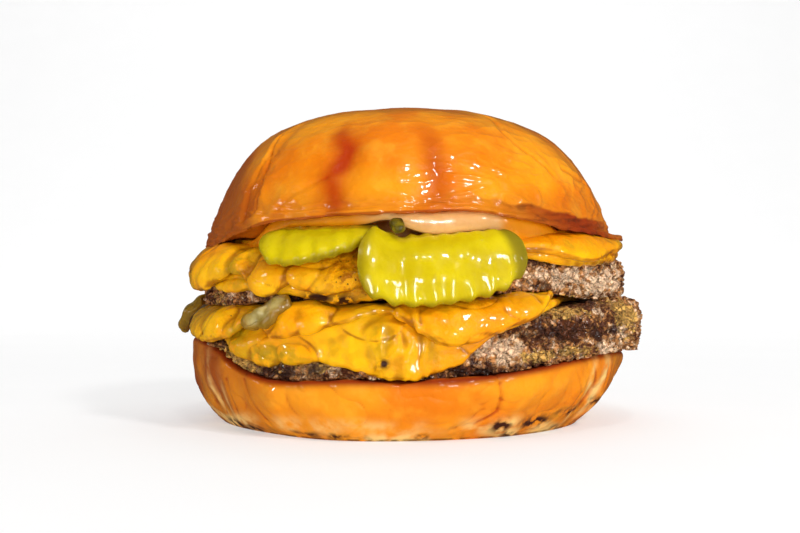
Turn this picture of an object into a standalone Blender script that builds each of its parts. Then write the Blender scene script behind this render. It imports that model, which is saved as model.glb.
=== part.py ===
"""A double cheeseburger, built up from the heel of the bun as the real one is.

A glossy soft bun holds two smashed beef patties with two slices of melted cheese each, grilled
onion, crinkle-cut pickle and sauce. Metres, +Z up. The origin is under the middle of the burger,
on the flat base of the heel. Angles are degrees round +Z from +X, so -90 is the front, where the
pickles are, and 180 is the left.

Every layer lies on a surface that the layer below gives as a function, one clearance above it, so
that neighbours follow each other closely and never touch. A slice of cheese, a pickle or a piece
of onion is laid out by walking from the middle of a patty over its top and down past its rim.
"""

import itertools
import math

import bpy
import numpy as np

TURN = 2 * math.pi

# Sizes in metres. A size that changes round the burger is given as {degrees: size}.
CLEARANCE = 0.00035
SLICE = 0.0017
PICKLE_THICK = 0.0026
ONION_THICK = 0.0024
# The heights of all rims are given at this radius, and grow straight from the middle outwards.
RIM_REACH = 0.050
# What puts the middle of the whole burger over the origin.
CENTRING = np.array([0.00039, 0.00062, 0.0])

# Stations round the layers, closer together at the front than at the back.
AROUND = 54
PATTY_AROUND = 76
FRONT_CROWDING = 0.3

# Heel of the bun: the cut top, the wall, how full it swells, and the foot that it stands on.
HEEL_RADIUS = {180: 0.0526, -135: 0.0528, -90: 0.0530, -45: 0.0526, 0: 0.0520, 90: 0.0526}
HEEL_MIDDLE = 0.0140
HEEL_RIM = {180: 0.0198, -155: 0.0196, -146: 0.0180, -138: 0.0150, -128: 0.0128, -105: 0.0130,
            -75: 0.0136, -60: 0.0150, -45: 0.0166, -30: 0.0174, -10: 0.0168, 0: 0.0166, 90: 0.0160}
HEEL_EDGE = 0.0012
HEEL_FOOT = {180: 0.0455, -135: 0.0451, -107: 0.0482, -90: 0.0466, -65: 0.0443, -45: 0.0425, 0: 0.0410,
             90: 0.0450}
HEEL_FULLNESS = {180: 3.0, -90: 2.2, 0: 1.55, 90: 2.2}
HEEL_SHARES = (0.06, 0.24, 0.42, 0.6, 0.8, 1.0)
FOLD_DEPTH, FOLD_LENGTH, FOLD_WIDTH = 0.0006, 0.030, 0.009

# Patties: smashed thin towards the edge, with a ragged side of crumbs.
PATTY_SHOULDER = 0.0040
PATTY_UNDERCUT = 0.0012
PATTY_TURNS = np.radians([28, 55, 80])
CRUMB, CRUMB_DEPTH = 0.0042, 0.0011
LOWER_RADIUS = {180: 0.0500, -150: 0.0505, -120: 0.0498, -90: 0.0500, -60: 0.0512, -35: 0.0550,
                -10: 0.0563, 20: 0.0555, 60: 0.0535, 90: 0.0525, 140: 0.0515}
LOWER_MIDDLE = 0.0262
LOWER_RIM = {180: 0.0243, -145: 0.0242, -120: 0.0248, -90: 0.0252, -60: 0.0270, -40: 0.0285, 0: 0.0290,
             90: 0.0272, 140: 0.0255}
UPPER_RADIUS = {180: 0.0495, -150: 0.0502, -120: 0.0485, -90: 0.0470, -60: 0.0482, -30: 0.0510,
                0: 0.0519, 30: 0.0512, 90: 0.0500, 135: 0.0500}
UPPER_MIDDLE = 0.0382
UPPER_RIM = {180: 0.0380, -150: 0.0372, -135: 0.0364, -110: 0.0366, -90: 0.0370, -60: 0.0388,
             -45: 0.0394, 0: 0.0392, 90: 0.0390}
# How far the edge of the upper patty sinks where no cheese lies under it, and over what width.
NO_SAG = {0: 0.0}
UPPER_SAG = {180: 0.0, -60: 0.0, -46: 0.0, -38: 0.0022, -25: 0.0034, 0: 0.0034, 12: 0.0020, 25: 0.0004,
             40: 0.0, 110: 0.0}
SAG_WIDTH = 0.0034

# How far each slice of cheese goes beyond the flat top of its patty. Its corners and the runs of
# melted cheese hang over the rim, and a length under zero ends on the top.
SLICE_STEPS = 5
LOWER_FIRST = {180: 0.0030, -165: 0.0048, -150: 0.0062, -140: 0.0080, -131: 0.0122, -120: 0.0124,
               -108: 0.0128, -100: 0.0146, -84: 0.0149, -78: 0.0130, -72: 0.0092, -62: 0.0060,
               -50: 0.0010, -38: -0.0070, 0: -0.0075, 16: -0.0045, 31: 0.0010, 44: 0.0080, 56: 0.0060,
               90: 0.0020, 120: 0.0045, 133: 0.0090, 150: 0.0050}
LOWER_SECOND = {180: 0.0010, -169: 0.0064, -158: 0.0100, -145: 0.0108, -136: 0.0090, -131: 0.0045,
                -125: 0.0098, -117: 0.0092, -105: 0.0068, -95: 0.0040, -89: 0.0082, -82: 0.0120,
                -75: 0.0116, -67: 0.0096, -60: 0.0080, -52: 0.0020, -43: -0.0072, 0: -0.0090,
                20: -0.0070, 50: -0.0030, 68: 0.0040, 82: 0.0105, 96: 0.0095, 112: 0.0030, 150: 0.0}
UPPER_FIRST = {180: 0.0050, -160: 0.0080, -142: 0.0092, -130: 0.0090, -117: 0.0105, -108: 0.0120,
               -98: 0.0106, -80: 0.0060, -60: 0.0030, -45: 0.0060, -28: 0.0052, -10: 0.0024,
               15: 0.0006, 50: 0.0050, 66: 0.0085, 80: 0.0060, 120: 0.0030, 150: 0.0050}
UPPER_SECOND = {156: 0.0030, 170: 0.0064, -178: 0.0086, -168: 0.0102, -158: 0.0128, -151: 0.0128,
                -146: 0.0110, -141: 0.0086, -136: 0.0080, -130: 0.0112, -125: 0.0124, -119: 0.0104,
                -113: 0.0126, -104: 0.0120, -97: 0.0080, -70: 0.0045, -55: 0.0056, -42: 0.0088,
                -30: 0.0068, -12: 0.0038, 5: 0.0030, 20: 0.0016, 80: 0.0010, 100: 0.0070,
                112: 0.0115, 124: 0.0080, 140: 0.0030}
PAIR = 2 * (CLEARANCE + SLICE)

# Crinkle cut of the pickles, and the places across a pickle or onion where its mesh has points.
RIPPLE, RIPPLE_LENGTH, RIPPLE_SAMPLES = 0.00035, 0.0039, 4
ACROSS = np.array([-0.6, -0.2, 0.2, 0.6])
# The left pickle leans on the cheese, and one end of the right pickle climbs onto the left one.
PICKLE_LEAN = 0.0018
PICKLE_CLIMB = 2 * RIPPLE + PICKLE_THICK + CLEARANCE
CLIMB_FROM, CLIMB_LENGTH = -0.0085, 0.0080

# Sauce: how far out it is spread, how thick, and how the pickles lift it at the front.
SAUCE_REACH = {180: 0.0435, -135: 0.0455, -110: 0.0466, -80: 0.0470, -60: 0.0470, -30: 0.0465, 0: 0.0455,
               90: 0.0440}
SAUCE_MIDDLE = 0.0014
SAUCE_RIM = {180: 0.0014, -130: 0.0018, -100: 0.0024, -85: 0.0030, -68: 0.0030, -50: 0.0016, 0: 0.0014,
             90: 0.0014}
SAUCE_ROUNDING = 0.0006
LIFT = {-160: 0.0, -143: 0.0, -131: 0.0052, -120: 0.0058, -98: 0.0058, -90: 0.0044, -66: 0.0039,
        -57: 0.0036, -44: 0.0, -20: 0.0, 90: 0.0}
LIFT_FROM, LIFT_WIDTH = 0.028, 0.008

# Crown of the bun: the edge of its cut, the toasted lip there, and the cubic curve of its dome.
CROWN_RADIUS = {180: 0.0496, -150: 0.0494, -90: 0.0502, -45: 0.0498, -20: 0.0505, -5: 0.0520,
                14: 0.0505, 90: 0.0500}
CROWN_EDGE = {180: 0.0412, -165: 0.0414, -150: 0.0425, -139: 0.0447, -130: 0.0463, -118: 0.0470,
              -105: 0.0477, -90: 0.0482, -75: 0.0484, -60: 0.0468, -45: 0.0450, -30: 0.0440, 45: 0.0440,
              90: 0.0450, 140: 0.0430}
CROWN_TOP = 0.0751
LIP = 0.0018
LIP_OUT = {180: 0.0004, -110: 0.0004, -70: 0.0010, -20: 0.0022, -3: 0.0036, 14: 0.0022, 60: 0.0006}
SIDE_PULL = {180: 0.0078, -90: 0.0040, 0: 0.0060, 90: 0.0044}
SIDE_HEIGHT = 0.0655
TOP_PULL = {180: 0.0360, -90: 0.0335, 0: 0.0322, 90: 0.0335}
CROWN_SHARES = (0.0, 0.1, 0.2, 0.3, 0.4, 0.5, 0.62, 0.75, 0.88)
# Dents in the crown: angle, height, half size round it and up it, and depth.
DENTS = (
    (-107, 0.0590, 0.0042, 0.0085, 0.0013),
    (-84, 0.0580, 0.0036, 0.0080, 0.0013),
    (-139, 0.0560, 0.0030, 0.0120, 0.0012),
    (60, 0.0600, 0.0060, 0.0080, 0.0010),
)


def stations(count):
    """Angles of count points round the burger, in radians, crowded towards the front."""
    even = np.arange(count) * TURN / count
    return even - FRONT_CROWDING * np.cos(even)


def around(sizes):
    """A smooth closed curve round the burger through {degrees: size}, as a function of radians."""
    degrees = sorted(sizes)
    knots = np.radians(degrees)
    knots = np.concatenate([knots - TURN, knots, knots + TURN])
    values = np.tile([sizes[d] for d in degrees], 3)
    slopes = np.gradient(values, knots)

    def at(angle):
        angle = (np.asarray(angle) + math.pi) % TURN - math.pi
        k = np.clip(np.searchsorted(knots, angle) - 1, 0, len(knots) - 2)
        width = knots[k + 1] - knots[k]
        t = (angle - knots[k]) / width
        rise = values[k + 1] - values[k]
        start, end = slopes[k] * width, slopes[k + 1] * width
        return values[k] + t * (start + t * (3 * rise - 2 * start - end + t * (start + end - 2 * rise)))

    return at


def ease(t):
    """A smooth step from 0 to 1 as t goes from 0 to 1."""
    t = np.clip(t, 0, 1)
    return t * t * (3 - 2 * t)


def lumps(points, size, seed):
    """Smooth gradient noise, about -1 to 1, with lumps about size across, for an array of points."""
    places = np.asarray(points) / size
    cell = np.floor(places).astype(np.int64)
    inside = places - cell
    fade = inside**3 * (inside * (inside * 6 - 15) + 10)
    total = 0
    for corner in itertools.product((0, 1), repeat=3):
        x, y, z = np.moveaxis(cell + corner, -1, 0)
        key = (x * 73856093 ^ y * 19349663 ^ z * 83492791 ^ (seed + 1) * 265443576) & 0x7FFFFFFF
        key = (key * 1103515245 + 12345 ^ key >> 7) & 0x7FFFFFFF
        tilt, spin = (key % 1021) / 1021 * 2 - 1, (key // 1021 % 1019) / 1019 * TURN
        flat = np.sqrt(1 - tilt**2)
        gradient = np.stack([flat * np.cos(spin), flat * np.sin(spin), tilt], -1)
        weight = np.prod(np.where(corner, fade, 1 - fade), -1)
        total = total + weight * ((inside - corner) * gradient).sum(-1)
    return total * 1.6


def polar(r, angle, z):
    """Points at radius r, angle and height z."""
    r, angle, z = np.broadcast_arrays(r, angle, z)
    return np.stack([r * np.cos(angle), r * np.sin(angle), z], -1)


def axis(low, high):
    """The poles of a layer whose underside and top meet the axis at these heights."""
    return [(0, 0, low), (0, 0, high)]


def food(name, colour, roughness):
    """A plain Principled material."""
    material = bpy.data.materials.new(name)
    material.use_nodes = True
    shader = material.node_tree.nodes["Principled BSDF"]
    shader.inputs["Base Color"].default_value = (*colour, 1)
    shader.inputs["Roughness"].default_value = roughness
    return material


def solid(name, loops, poles, material):
    """One closed object through loops of points, shaped (loops, points, 3), with a fan to a pole over
    each end.

    All quads are split from the inner loop on one side to the outer loop on the other, so that the
    top of a layer and the underside of the next fold alike."""
    count, size = loops.shape[:2]
    points = np.concatenate([loops.reshape(-1, 3), poles]) + CENTRING
    reach = np.hypot(loops[..., 0], loops[..., 1]).mean(1)
    here = np.arange(size)
    after = (here + 1) % size
    faces = []
    for k in range(count - 1):
        low, high = k * size, (k + 1) * size
        quads = np.stack([low + here, low + after, high + after, high + here], 1)
        faces += np.roll(quads, -1 if reach[k + 1] < reach[k] else 0, axis=1).tolist()
    end, first_pole, last_pole = (count - 1) * size, count * size, count * size + 1
    faces += np.stack([after, here, np.full(size, first_pole)], 1).tolist()
    faces += np.stack([end + here, end + after, np.full(size, last_pole)], 1).tolist()
    mesh = bpy.data.meshes.new(name)
    mesh.from_pydata(points.tolist(), [], faces)
    mesh.materials.append(material)
    mesh.shade_smooth()
    mesh.set_sharp_from_angle(angle=math.radians(50))
    obj = bpy.data.objects.new(name, mesh)
    bpy.context.scene.collection.objects.link(obj)
    return obj


class Disc:
    """A round layer that others drape over: its outline, its top and the roundness of its upper edge.

    The top runs straight from its height in the middle to its height at the rim, so that layers
    sampled at different radii still lie flat on each other."""

    def __init__(self, radius, middle, rim, shoulder):
        self.radius = around(radius)
        self.middle = middle
        self.rim = around(rim)
        self.shoulder = shoulder

    def top(self, r, angle):
        return self.middle + (self.rim(angle) - self.middle) * r / RIM_REACH

    def flat(self, angle):
        """How far out the top goes before it turns down."""
        return self.radius(angle) - self.shoulder

    def drape(self, beyond, angle, path, height):
        """The point height above the disc, reached by going beyond its flat top by that length,
        measured on the path at height path, round the shoulder and straight down."""
        turn = np.clip(beyond / (self.shoulder + path), 0, math.pi / 2)
        hang = np.maximum(beyond - (self.shoulder + path) * math.pi / 2, 0)
        bend = self.shoulder + height
        r = self.flat(angle) + np.minimum(beyond, 0) + bend * np.sin(turn)
        z = self.top(r, angle) + height - bend * (1 - np.cos(turn)) - hang
        return polar(r, angle, z)


HEEL = Disc(HEEL_RADIUS, HEEL_MIDDLE, HEEL_RIM, HEEL_EDGE)
LOWER_PATTY = Disc(LOWER_RADIUS, LOWER_MIDDLE, LOWER_RIM, PATTY_SHOULDER)
UPPER_PATTY = Disc(UPPER_RADIUS, UPPER_MIDDLE, UPPER_RIM, PATTY_SHOULDER)


def above_heel(r, angle):
    return HEEL.top(r, angle) + CLEARANCE


def above_lower_cheese(r, angle):
    """Over the two slices on the lower patty, which turn down round its rim."""
    bend = PATTY_SHOULDER + PAIR
    out = np.clip(r - LOWER_PATTY.flat(angle), 0, bend / 2)
    return LOWER_PATTY.top(r, angle) + PAIR - bend + np.sqrt(bend**2 - out**2) + CLEARANCE


def above_pickles(r, angle):
    """Over the two slices on the upper patty and, at the front, over the pickles on them."""
    lift = ease((r - LIFT_FROM) / LIFT_WIDTH) * np.maximum(around(LIFT)(angle), 0)
    return UPPER_PATTY.top(r, angle) + PAIR + CLEARANCE + lift


def sauce_top(r, angle):
    return above_pickles(r, angle) + SAUCE_MIDDLE + (around(SAUCE_RIM)(angle) - SAUCE_MIDDLE) * r / RIM_REACH


def heel():
    """The lower half of the bun: a flat foot, a wall that swells outwards, a cut top like a dish."""
    angle = stations(AROUND)
    wall, foot, rim = HEEL.radius(angle), around(HEEL_FOOT)(angle), HEEL.rim(angle)
    fullness = around(HEEL_FULLNESS)(angle)
    loops = [polar(foot - HEEL_EDGE, angle, 0)]
    for share in HEEL_SHARES:
        ring = polar(foot + (wall - foot) * (1 - (1 - share) ** fullness), angle, (rim - HEEL_EDGE) * share)
        folds = lumps(ring * [1, 1, FOLD_WIDTH / FOLD_LENGTH], FOLD_WIDTH, seed=3)
        loops.append(ring + polar(FOLD_DEPTH * folds * math.sin(math.pi * share), angle, 0))
    loops.append(polar(wall - HEEL_EDGE / 3, angle, rim - HEEL_EDGE / 3))
    loops.append(polar(wall - HEEL_EDGE, angle, HEEL.top(wall - HEEL_EDGE, angle)))
    return solid("bun_bottom", np.array(loops), axis(0, HEEL_MIDDLE), CRUST)


def patty(name, disc, under, sag, seed):
    """A patty from the height function under it up to its disc. Its side is crumbled inwards from a
    smooth outline, so that whatever lies against it stays clear."""
    angle = stations(PATTY_AROUND)
    wall, foot = disc.radius(angle), disc.radius(angle) - PATTY_UNDERCUT
    inner = foot - SAG_WIDTH
    base = under(foot, angle) - around(sag)(angle)
    side = disc.top(wall, angle) - disc.shoulder - base
    loops = [polar(inner, angle, under(inner, angle)), polar(foot, angle, base)]
    for turn in PATTY_TURNS:
        r = foot + PATTY_UNDERCUT * math.sin(turn)
        loops.append(polar(r, angle, base + side * (1 - math.cos(turn))))
    for turn in (*PATTY_TURNS[::-1], 0):
        loops.append(disc.drape(disc.shoulder * turn, angle, 0, 0))
    loops = np.array(loops)
    crumbs = loops[1:-1]
    pits = 0.5 + 0.5 * lumps(crumbs, CRUMB, seed) + 0.4 * lumps(crumbs, 2 * CRUMB, seed + 1)
    crumbs -= polar(CRUMB_DEPTH * np.clip(pits, 0, 1), angle, 0)
    return solid(name, loops, axis(under(0, 0), disc.middle), BEEF)


def cheese(name, disc, below, beyond):
    """A slice draped over a disc: out along its underside, round its thick edge and back on top.
    below is the height of its underside above the disc."""
    angle = stations(AROUND)
    reach = around(beyond)(angle)
    path = below + SLICE / 2
    inner, outer = np.minimum(reach - 2 * SLICE, 0), reach - 0.7 * SLICE
    ways = [inner + (outer - inner) * share for share in np.linspace(0, 1, SLICE_STEPS)]
    loops = [disc.drape(way, angle, path, below) for way in ways]
    loops.append(disc.drape(reach, angle, path, path))
    loops += [disc.drape(way, angle, path, below + SLICE) for way in ways[::-1]]
    return solid(name, np.array(loops), axis(disc.middle + below, disc.middle + below + SLICE), CHEESE)


class Patch:
    """A flat oval laid on a disc. Its middle is at an angle and a length beyond the disc's flat top;
    it is half_length long round the burger and half_width wide down it, turned in its own plane,
    and lies height above the disc. One end may climb by some height."""

    def __init__(self, disc, degrees, beyond, half_length, half_width, turned, height, thick, climb=0):
        self.disc = disc
        self.angle = math.radians(degrees)
        self.beyond = beyond
        self.half_length = half_length
        self.half_width = half_width
        self.turned = math.radians(turned)
        self.height = height
        self.thick = thick
        self.climb = climb

    def place(self, along, across, up):
        """The point along and across the patch, up above its underside."""
        u = along * math.cos(self.turned) - across * math.sin(self.turned)
        v = along * math.sin(self.turned) + across * math.cos(self.turned)
        path = self.height + self.thick / 2
        radius = self.disc.radius(self.angle) + path
        climb = self.climb * ease((CLIMB_FROM - along) / CLIMB_LENGTH)
        return self.disc.drape(self.beyond + v, self.angle + u / radius, path, self.height + up + climb)


def patch(name, shape, material, roundness=2.4, ripple=0.0, columns=6):
    """An oval solid, built as loops across it from one end to the other. Its outline is a
    superellipse, and a crinkle cut ripples both its faces alike."""
    step = RIPPLE_LENGTH / RIPPLE_SAMPLES if ripple else shape.half_length / columns
    limit = 0.985 * shape.half_length
    half = math.ceil(limit / step)
    along = np.clip(np.arange(-half, half + 1) * step, -limit, limit)
    wide = shape.half_width * (1 - np.abs(along / shape.half_length) ** roundness) ** (1 / roundness)
    corner = np.minimum(shape.thick * 0.3, wide * 0.5)
    wave = ripple * np.sin(TURN * along / RIPPLE_LENGTH)
    across = [corner - wide, *np.multiply.outer(ACROSS, wide), wide - corner]
    loops = [shape.place(along, width, wave + shape.thick) for width in across]
    loops.append(shape.place(along, wide, wave + shape.thick / 2))
    loops += [shape.place(along, width, wave) for width in across[::-1]]
    loops.append(shape.place(along, -wide, wave + shape.thick / 2))
    loops = np.stack(loops, 1)
    return solid(name, loops, [loops[0].mean(0), loops[-1].mean(0)], material)


def sauce():
    """The sauce spread under the crown, out to an edge that shows over the pickles."""
    angle = stations(AROUND)
    reach = around(SAUCE_REACH)(angle)
    rings = [LIFT_FROM, LIFT_FROM + LIFT_WIDTH / 2, LIFT_FROM + LIFT_WIDTH, reach - SAUCE_ROUNDING]
    loops = [polar(r, angle, above_pickles(r, angle)) for r in rings]
    loops.append(polar(reach, angle, (above_pickles(reach, angle) + sauce_top(reach, angle)) / 2))
    loops += [polar(r, angle, sauce_top(r, angle)) for r in rings[::-1]]
    return solid("sauce", np.array(loops), axis(above_pickles(0, 0), sauce_top(0, 0)), SAUCE)


def dents(angle, z):
    """How deep the dents of the crown are at each angle and height."""
    depth = np.zeros_like(z)
    for degrees, height, wide, tall, deep in DENTS:
        off = (angle - math.radians(degrees) + math.pi) % TURN - math.pi
        depth += deep * np.exp(-((off * RIM_REACH / wide) ** 2) - ((z - height) / tall) ** 2)
    return depth


def crown():
    """The upper half of the bun: an underside moulded on the filling, a thin toasted lip, and a dome
    whose profile is a cubic curve from the lip to the top."""
    angle = stations(AROUND)
    rim, edge, out = around(CROWN_RADIUS)(angle), around(CROWN_EDGE)(angle), around(LIP_OUT)(angle)
    rings = (LIFT_FROM, LIFT_FROM + LIFT_WIDTH / 2, LIFT_FROM + LIFT_WIDTH, around(SAUCE_REACH)(angle))
    loops = [polar(r, angle, sauce_top(r, angle) + CLEARANCE) for r in rings]
    loops.append(polar(rim, angle, edge))
    loops.append(polar(rim, angle, edge + 0.7 * LIP))
    lip = rim - out
    pull, top_pull = around(SIDE_PULL)(angle), around(TOP_PULL)(angle)
    for t in CROWN_SHARES:
        r = lip * (1 - t) ** 3 + (lip - pull) * 3 * t * (1 - t) ** 2 + top_pull * 3 * t**2 * (1 - t)
        z = (edge + LIP) * (1 - t) ** 3 + SIDE_HEIGHT * 3 * t * (1 - t) ** 2 + CROWN_TOP * t**2 * (3 - 2 * t)
        loops.append(polar(r - dents(angle, z), angle, z))
    return solid("bun_top", np.array(loops), axis(sauce_top(0, 0) + CLEARANCE, CROWN_TOP), CRUST)


for old in list(bpy.data.objects):
    bpy.data.objects.remove(old)

CRUST = food("crust", (0.72, 0.27, 0.035), 0.35)
BEEF = food("beef", (0.16, 0.085, 0.055), 0.75)
CHEESE = food("cheese", (0.90, 0.42, 0.02), 0.3)
PICKLE = food("pickle", (0.55, 0.55, 0.02), 0.25)
ONION = food("onion", (0.55, 0.47, 0.16), 0.3)
SAUCE = food("sauce", (0.90, 0.52, 0.25), 0.3)

FIRST_SLICE = CLEARANCE
SECOND_SLICE = 2 * CLEARANCE + SLICE
ONTO = PAIR + CLEARANCE

heel()
patty("patty_lower", LOWER_PATTY, above_heel, NO_SAG, seed=11)
cheese("cheese_lower_first", LOWER_PATTY, FIRST_SLICE, LOWER_FIRST)
cheese("cheese_lower_second", LOWER_PATTY, SECOND_SLICE, LOWER_SECOND)
patty("patty_upper", UPPER_PATTY, above_lower_cheese, UPPER_SAG, seed=23)
cheese("cheese_upper_first", UPPER_PATTY, FIRST_SLICE, UPPER_FIRST)
cheese("cheese_upper_second", UPPER_PATTY, SECOND_SLICE, UPPER_SECOND)
patch("onion_front", Patch(LOWER_PATTY, -125.5, 0.0077, 0.0058, 0.0030, -40, ONTO, ONION_THICK), ONION)
patch("onion_side", Patch(LOWER_PATTY, 178, 0.0082, 0.0050, 0.0050, 20, ONTO, ONION_THICK), ONION)
left = Patch(UPPER_PATTY, -113.5, 0.0036, 0.0146, 0.0096, -14, ONTO + RIPPLE + PICKLE_LEAN, PICKLE_THICK)
right = Patch(UPPER_PATTY, -82, 0.0104, 0.0178, 0.0100, -3, ONTO + RIPPLE, PICKLE_THICK, PICKLE_CLIMB)
tip = Patch(UPPER_PATTY, -93, 0.0070, 0.0017, 0.0022, -30, ONTO + PICKLE_CLIMB + 0.0012, 0.0020)
patch("pickle_left", left, PICKLE, ripple=RIPPLE)
patch("pickle_right", right, PICKLE, roundness=2.8, ripple=RIPPLE)
patch("pickle_tip", tip, PICKLE, columns=3)
sauce()
crown()
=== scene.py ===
import itertools
import math

import bpy
import numpy as np
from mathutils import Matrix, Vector


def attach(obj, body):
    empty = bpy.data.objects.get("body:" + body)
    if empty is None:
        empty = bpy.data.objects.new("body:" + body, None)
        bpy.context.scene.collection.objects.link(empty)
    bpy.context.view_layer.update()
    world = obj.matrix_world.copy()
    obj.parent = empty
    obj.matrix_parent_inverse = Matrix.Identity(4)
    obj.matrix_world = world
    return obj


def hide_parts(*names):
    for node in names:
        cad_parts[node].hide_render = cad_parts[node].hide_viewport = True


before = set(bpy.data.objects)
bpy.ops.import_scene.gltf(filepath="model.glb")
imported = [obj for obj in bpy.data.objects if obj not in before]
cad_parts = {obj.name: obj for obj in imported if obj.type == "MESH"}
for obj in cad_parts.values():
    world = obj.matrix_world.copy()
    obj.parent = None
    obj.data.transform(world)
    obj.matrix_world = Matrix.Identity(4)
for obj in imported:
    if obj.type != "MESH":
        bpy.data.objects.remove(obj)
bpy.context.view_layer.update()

# Heel of the bun. Soft glazed bread, baked orange, with a pale band low down and scorch marks where
# it met the griddle. It stands on its flat foot, its wall is creased where it was squeezed, and its
# cut top dips at the front. Up to the studio, lengths are in millimetres. Angles are degrees round +Z,
# with -90 at the front.

MM = 0.001
TURN = 2 * math.pi
CENTRING = np.array([0.39, 0.62, 0.0])
CLEARANCE = 0.35
# Heights of rims are given at this radius, and grow straight from the middle outwards.
RIM_REACH = 50
FRONT_CROWDING = 0.3
HEEL_RADIUS = {180: 52.6, -135: 52.8, -90: 53, -45: 52.6, 0: 52, 90: 52.6}
HEEL_MIDDLE = 14
HEEL_RIM = {180: 19.8, -155: 19.6, -146: 18, -138: 15, -128: 12.8, -105: 13, -75: 13.6, -60: 15, -45: 16.6,
    -30: 17.4, -10: 16.8, 0: 16.6, 90: 16}
HEEL_EDGE = 1.2
HEEL_FOOT = {180: 45.5, -135: 45.1, -107: 48.2, -90: 46.6, -65: 44.3, -45: 42.5, 0: 41, 90: 45}
HEEL_FULLNESS = {180: 3, -90: 2.2, 0: 1.55, 90: 2.2}
FOLD_DEPTH, FOLD_LENGTH, FOLD_WIDTH = 0.6, 30, 9
# Creases of the wall as routes of (degrees, height), with their depth.
HEEL_CREASES = (
    (((-69.4, 13.8), (-68.4, 8.9), (-68.6, 6), (-73.6, 3.4), (-80, 2.8)), 0.5),
    (((-149, 14), (-147.5, 9), (-151, 3)), 0.7),
    (((-133.5, 12.5), (-131.5, 8), (-128, 3)), 0.4),
    (((-141, 12), (-139, 6), (-141, 2)), 0.5),
    (((-46, 15), (-41, 9), (-43, 4)), 0.3),
    (((-38, 15.5), (-33, 9), (-34, 5)), 0.4),
    (((-30, 15.5), (-27, 9), (-28, 5)), 0.4),
    (((20, 14), (24, 6)), 0.4),
    (((75, 13), (72, 8), (78, 3)), 0.5),
    (((125, 15), (128, 6)), 0.5),
    (((165, 16), (161, 8), (163, 3)), 0.6),
)


def stations(count):
    """Angles of count points round the burger, in radians: an even turn less a cosine of itself, which
    crowds them towards the front."""
    even = np.arange(count) * TURN / count
    return even - FRONT_CROWDING * np.cos(even)


def around(sizes):
    """A smooth closed curve round the burger through {degrees: size}: cubic pieces whose slopes are
    central differences."""
    degrees = sorted(sizes)
    knots = np.radians(degrees)
    knots = np.concatenate([knots - TURN, knots, knots + TURN])
    values = np.tile([sizes[d] for d in degrees], 3)
    slopes = np.gradient(values, knots)

    def at(angle):
        angle = (np.asarray(angle) + math.pi) % TURN - math.pi
        k = np.clip(np.searchsorted(knots, angle) - 1, 0, len(knots) - 2)
        width = knots[k + 1] - knots[k]
        t = (angle - knots[k]) / width
        rise = values[k + 1] - values[k]
        start, end = slopes[k] * width, slopes[k + 1] * width
        return values[k] + t * (start + t * (3 * rise - 2 * start - end + t * (start + end - 2 * rise)))

    return at


def ease(t):
    """A smooth step, 3t^2 - 2t^3, held at 0 and 1."""
    t = np.clip(t, 0, 1)
    return t * t * (3 - 2 * t)


def polar(r, angle, z):
    """Points at radius r, angle and height z."""
    r, angle, z = np.broadcast_arrays(r, angle, z)
    return np.stack([r * np.cos(angle), r * np.sin(angle), z], -1)


def scatter(cell, seed):
    """Three repeatable random numbers, 0 to 1, for each whole-numbered cell of space."""
    x, y, z = np.moveaxis(cell, -1, 0)
    key = (x * 73856093 ^ y * 19349663 ^ z * 83492791 ^ (seed + 1) * 265443576) & 0x7FFFFFFF
    key = (key * 1103515245 + 12345 ^ key >> 7) & 0x7FFFFFFF
    return key % 1021 / 1021, key // 1021 % 1019 / 1019, key // 7 % 1013 / 1013


def lumps(points, size, seed):
    """Smooth gradient noise, about -1 to 1, with lumps about size across: random slopes at the corners
    of a lattice, blended by a quintic fade."""
    places = np.asarray(points) / size
    cell = np.floor(places).astype(np.int64)
    inside = places - cell
    fade = inside**3 * (inside * (inside * 6 - 15) + 10)
    total = 0
    for corner in itertools.product((0, 1), repeat=3):
        tilt, spin, _ = scatter(cell + corner, seed)
        tilt, spin = tilt * 2 - 1, spin * TURN
        flat = np.sqrt(1 - tilt**2)
        gradient = np.stack([flat * np.cos(spin), flat * np.sin(spin), tilt], -1)
        weight = np.prod(np.where(corner, fade, 1 - fade), -1)
        total = total + weight * ((inside - corner) * gradient).sum(-1)
    return total * 1.6


def side_offset(points, degrees):
    """How far points are round the burger's rim from an angle."""
    angle = np.arctan2(points[..., 1], points[..., 0])
    return ((angle - math.radians(degrees) + math.pi) % TURN - math.pi) * RIM_REACH


def oval(points, degrees, height, wide, tall, lean=0):
    """(u/wide)^2 + (v/tall)^2 round a place on the burger's side, with its axes leaning by some degrees."""
    u, v = side_offset(points, degrees), points[..., 2] - height
    c, s = math.cos(math.radians(lean)), math.sin(math.radians(lean))
    return ((u * c + v * s) / wide) ** 2 + ((v * c - u * s) / tall) ** 2


def spot(points, *place):
    """A soft oval mark, exp(-oval)."""
    return np.exp(-oval(points, *place))


def spots(points, marks):
    """The greatest of several soft marks, each given as (degrees, height, wide, tall, strength)."""
    return np.max([m[4] * spot(points, *m[:4]) for m in marks], axis=0)


def stroke(points, route, wide):
    """A soft line on the burger's side: exp(-(d/wide)^2), with d the distance to the nearest of the
    straight stretches between (degrees, height) points."""
    first = route[0][0]
    here = np.stack([side_offset(points, first), points[..., 2]], -1)
    line = np.array([((d - first + 180) % 360 - 180, z) for d, z in route]) * [math.pi / 180 * RIM_REACH, 1]
    nearest = np.full(here.shape[:-1], np.inf)
    for start, end in zip(line[:-1], line[1:]):
        way = end - start
        share = np.clip(((here - start) @ way) / (way @ way), 0, 1)
        nearest = np.minimum(nearest, np.linalg.norm(here - start - share[..., None] * way, axis=-1))
    return np.exp(-((nearest / wide) ** 2))


def pinched(points, creases, wide):
    """The relief of creases: a narrow groove between two low, wider lips."""
    relief = 0
    for route, depth in creases:
        relief = relief - depth * stroke(points, route, wide) + 0.45 * depth * stroke(points, route, 3 * wide)
    return relief


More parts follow.
